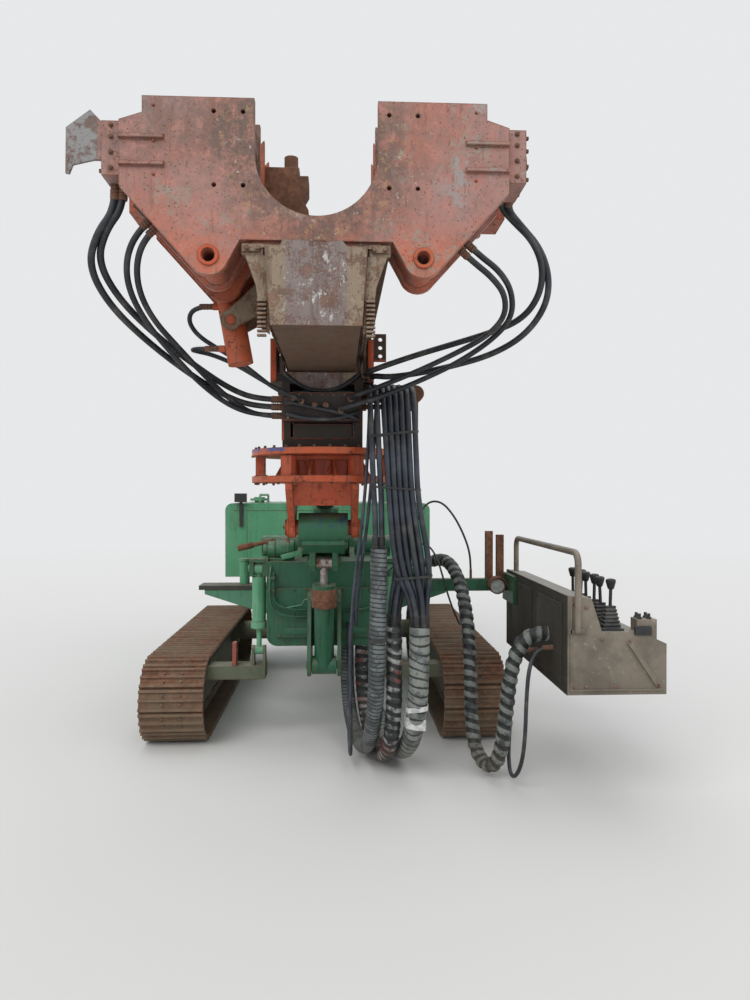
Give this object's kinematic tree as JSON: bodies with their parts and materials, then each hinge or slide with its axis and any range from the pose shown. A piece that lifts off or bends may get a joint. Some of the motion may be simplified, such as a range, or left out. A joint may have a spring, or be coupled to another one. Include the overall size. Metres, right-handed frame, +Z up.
{
  "type": "crawler drilling rig",
  "caption": "Crawler drilling rig with a long mast folded flat over its hull, a U-shaped rod clamp and break-out unit at the nose, a turntable boom and a swing-out control stand.",
  "frame": {"origin": "on the ground at the middle of the whole machine's footprint box", "axes": "+Z up, +Y along the mast towards the engine end, +X towards the control stand"},
  "size_m": [2.9, 6.38, 3.1977],
  "materials": {
    "chain_steel": "oily",
    "console_metal": "dull, stained",
    "engine_metal": "matte",
    "green_paint": "worn gloss",
    "grille_metal": "matte",
    "head_paint": "worn",
    "hood_paint": "faded",
    "hose_rubber": "satin",
    "jaw_steel": "rusty",
    "lever_black": "matte",
    "mast_paint": "rusty",
    "orange_paint": "faded, chipped and rusty",
    "rod_steel": "stained",
    "rust_steel": "rusty",
    "sleeve_nylon": "woven, stained",
    "track_steel": "rusty, worn",
    "undercarriage_paint": "faded, muddy"
  },
  "bodies": {
    "root": {"arm_base": "green_paint", "axle_beam": "undercarriage_paint", "boom_bracket": "green_paint", "chassis": "green_paint", "deck_fittings": "hood_paint", "decks": "hood_paint", "engine": "engine_metal", "hood": "hood_paint", "hood_grille": "grille_metal", "idlers": "undercarriage_paint", "sprockets": "undercarriage_paint", "stacks": "hood_paint", "sway_cylinders": "green_paint", "track_frames": "undercarriage_paint", "track_left": "track_steel", "track_right": "track_steel"},
    "boom": {"boom": "green_paint", "hose_bundle": "hose_rubber", "hose_wraps": "sleeve_nylon"},
    "lift_barrel": {"lift_barrel": "green_paint"},
    "lift_rod": {"lift_rod": "rod_steel"},
    "tilt_barrel": {"tilt_barrel": "green_paint"},
    "tilt_rod": {"tilt_rod": "rod_steel"},
    "yoke": {"yoke": "orange_paint"},
    "cradle": {"slew_ring": "orange_paint", "cradle": "mast_paint", "hose_bracket": "mast_paint"},
    "mast": {"mast": "mast_paint", "mast_rails": "mast_paint", "feed_chains": "chain_steel", "clamp_frame": "orange_paint", "clamp_caps": "orange_paint", "hoses_left": "hose_rubber", "hoses_right": "hose_rubber"},
    "front_jaw_left": {"front_jaw_left": "jaw_steel"},
    "front_jaw_right": {"front_jaw_right": "jaw_steel"},
    "breakout": {"breakout_frame": "orange_paint", "breakout_caps": "orange_paint"},
    "rear_jaw_left": {"rear_jaw_left": "jaw_steel"},
    "rear_jaw_right": {"rear_jaw_right": "jaw_steel"},
    "breakout_barrel": {"breakout_barrel": "orange_paint"},
    "breakout_rod": {"breakout_rod": "rod_steel"},
    "carriage": {"carriage": "head_paint", "rotary_head": "head_paint"},
    "spindle": {"spindle": "jaw_steel"},
    "hood_door_left": {"hood_door_left": "hood_paint"},
    "hood_door_right": {"hood_door_right": "hood_paint"},
    "console": {"console_box": "console_metal", "console_arm": "green_paint", "console_levers": "lever_black", "console_lamp": "lever_black", "handrail": "console_metal", "console_hoses": "hose_rubber", "console_cables": "rust_steel"}
  },
  "joints": [
    {"name": "boom_lift", "type": "hinge", "parent": "root", "child": "boom", "pos_m": [-0.29, -0.68, 1.235], "axis": [-1, 0, 0], "range_deg": [-5, 14]},
    {"name": "lift_swing", "type": "hinge", "parent": "root", "child": "lift_barrel", "pos_m": [-0.29, -1.53, 0.56], "axis": [1, 0, 0], "range_deg": [-3.15, 1.32]},
    {"name": "lift_stroke", "type": "slide", "parent": "lift_barrel", "child": "lift_rod", "axis": [0, -0.1087, 0.9941], "range_m": [-0.08004, 0.2223]},
    {"name": "mast_tilt", "type": "hinge", "parent": "boom", "child": "yoke", "pos_m": [-0.29, -1.76, 1.415], "axis": [1, 0, 0], "range_deg": [0, 90], "deforming": ["hose_bundle", "hose_wraps"]},
    {"name": "tilt_swing", "type": "hinge", "parent": "boom", "child": "tilt_barrel", "pos_m": [-0.29, -0.82, 1.48], "axis": [1, 0, 0], "range_deg": [-0.3, 4.67]},
    {"name": "tilt_stroke", "type": "slide", "parent": "tilt_barrel", "child": "tilt_rod", "axis": [0, -0.9858, 0.1677], "range_m": [-0.001, 0.36078]},
    {"name": "mast_slew", "type": "hinge", "parent": "yoke", "child": "cradle", "pos_m": [-0.29, -1.74, 1.8], "axis": [0, 0, 1], "range_deg": [-45, 45]},
    {"name": "mast_shift", "type": "slide", "parent": "cradle", "child": "mast", "axis": [0, 1, 0], "range_m": [-0.45, 0.35], "deforming": ["hoses_left", "hoses_right"]},
    {"name": "front_jaw_left", "type": "slide", "parent": "mast", "child": "front_jaw_left", "axis": [1, 0, 0], "range_m": [0, 0.2]},
    {"name": "front_jaw_right", "type": "slide", "parent": "mast", "child": "front_jaw_right", "axis": [-1, 0, 0], "range_m": [0, 0.2]},
    {"name": "breakout_turn", "type": "hinge", "parent": "mast", "child": "breakout", "pos_m": [-0.29, -2.615, 2.962], "axis": [0, 1, 0], "range_deg": [0, 25]},
    {"name": "breakout_swing", "type": "hinge", "parent": "mast", "child": "breakout_barrel", "pos_m": [-0.69, -2.615, 2.4], "axis": [0, 1, 0], "range_deg": [-13.21, 0.3]},
    {"name": "breakout_stroke", "type": "slide", "parent": "breakout_barrel", "child": "breakout_rod", "axis": [-0.1778, 0, 0.9841], "range_m": [-0.001, 0.25025]},
    {"name": "rear_jaw_left", "type": "slide", "parent": "breakout", "child": "rear_jaw_left", "axis": [1, 0, 0], "range_m": [-0.2, 0]},
    {"name": "rear_jaw_right", "type": "slide", "parent": "breakout", "child": "rear_jaw_right", "axis": [-1, 0, 0], "range_m": [0, 0.2]},
    {"name": "head_feed", "type": "slide", "parent": "mast", "child": "carriage", "axis": [0, 1, 0], "range_m": [-2.7, 1.6]},
    {"name": "spindle_turn", "type": "hinge", "parent": "carriage", "child": "spindle", "pos_m": [-0.29, 1.04, 2.962], "axis": [0, 1, 0], "continuous": true},
    {"name": "hood_door_left", "type": "hinge", "parent": "root", "child": "hood_door_left", "pos_m": [-1.179, 0.571, 1.18], "axis": [0, 0, 1], "range_deg": [0, 95]},
    {"name": "hood_door_right", "type": "hinge", "parent": "root", "child": "hood_door_right", "pos_m": [0.599, 0.571, 1.18], "axis": [0, 0, -1], "range_deg": [0, 95]},
    {"name": "console_swing", "type": "hinge", "parent": "root", "child": "console", "pos_m": [0.33, -1.06, 1], "axis": [0, 0, 1], "range_deg": [0, 60], "deforming": ["console_hoses", "console_cables"]}
  ],
  "couplings": [
    {"joint": "lift_swing", "follows": "boom_lift", "ratio": -0.20379},
    {"joint": "lift_stroke", "follows": "boom_lift", "m_per_rad": 0.9057},
    {"joint": "tilt_swing", "follows": "mast_tilt", "ratio": 0.048605},
    {"joint": "tilt_stroke", "follows": "mast_tilt", "m_per_rad": 0.22904},
    {"joint": "breakout_swing", "follows": "breakout_turn", "ratio": -0.51635},
    {"joint": "breakout_stroke", "follows": "breakout_turn", "m_per_rad": 0.57125}
  ]
}
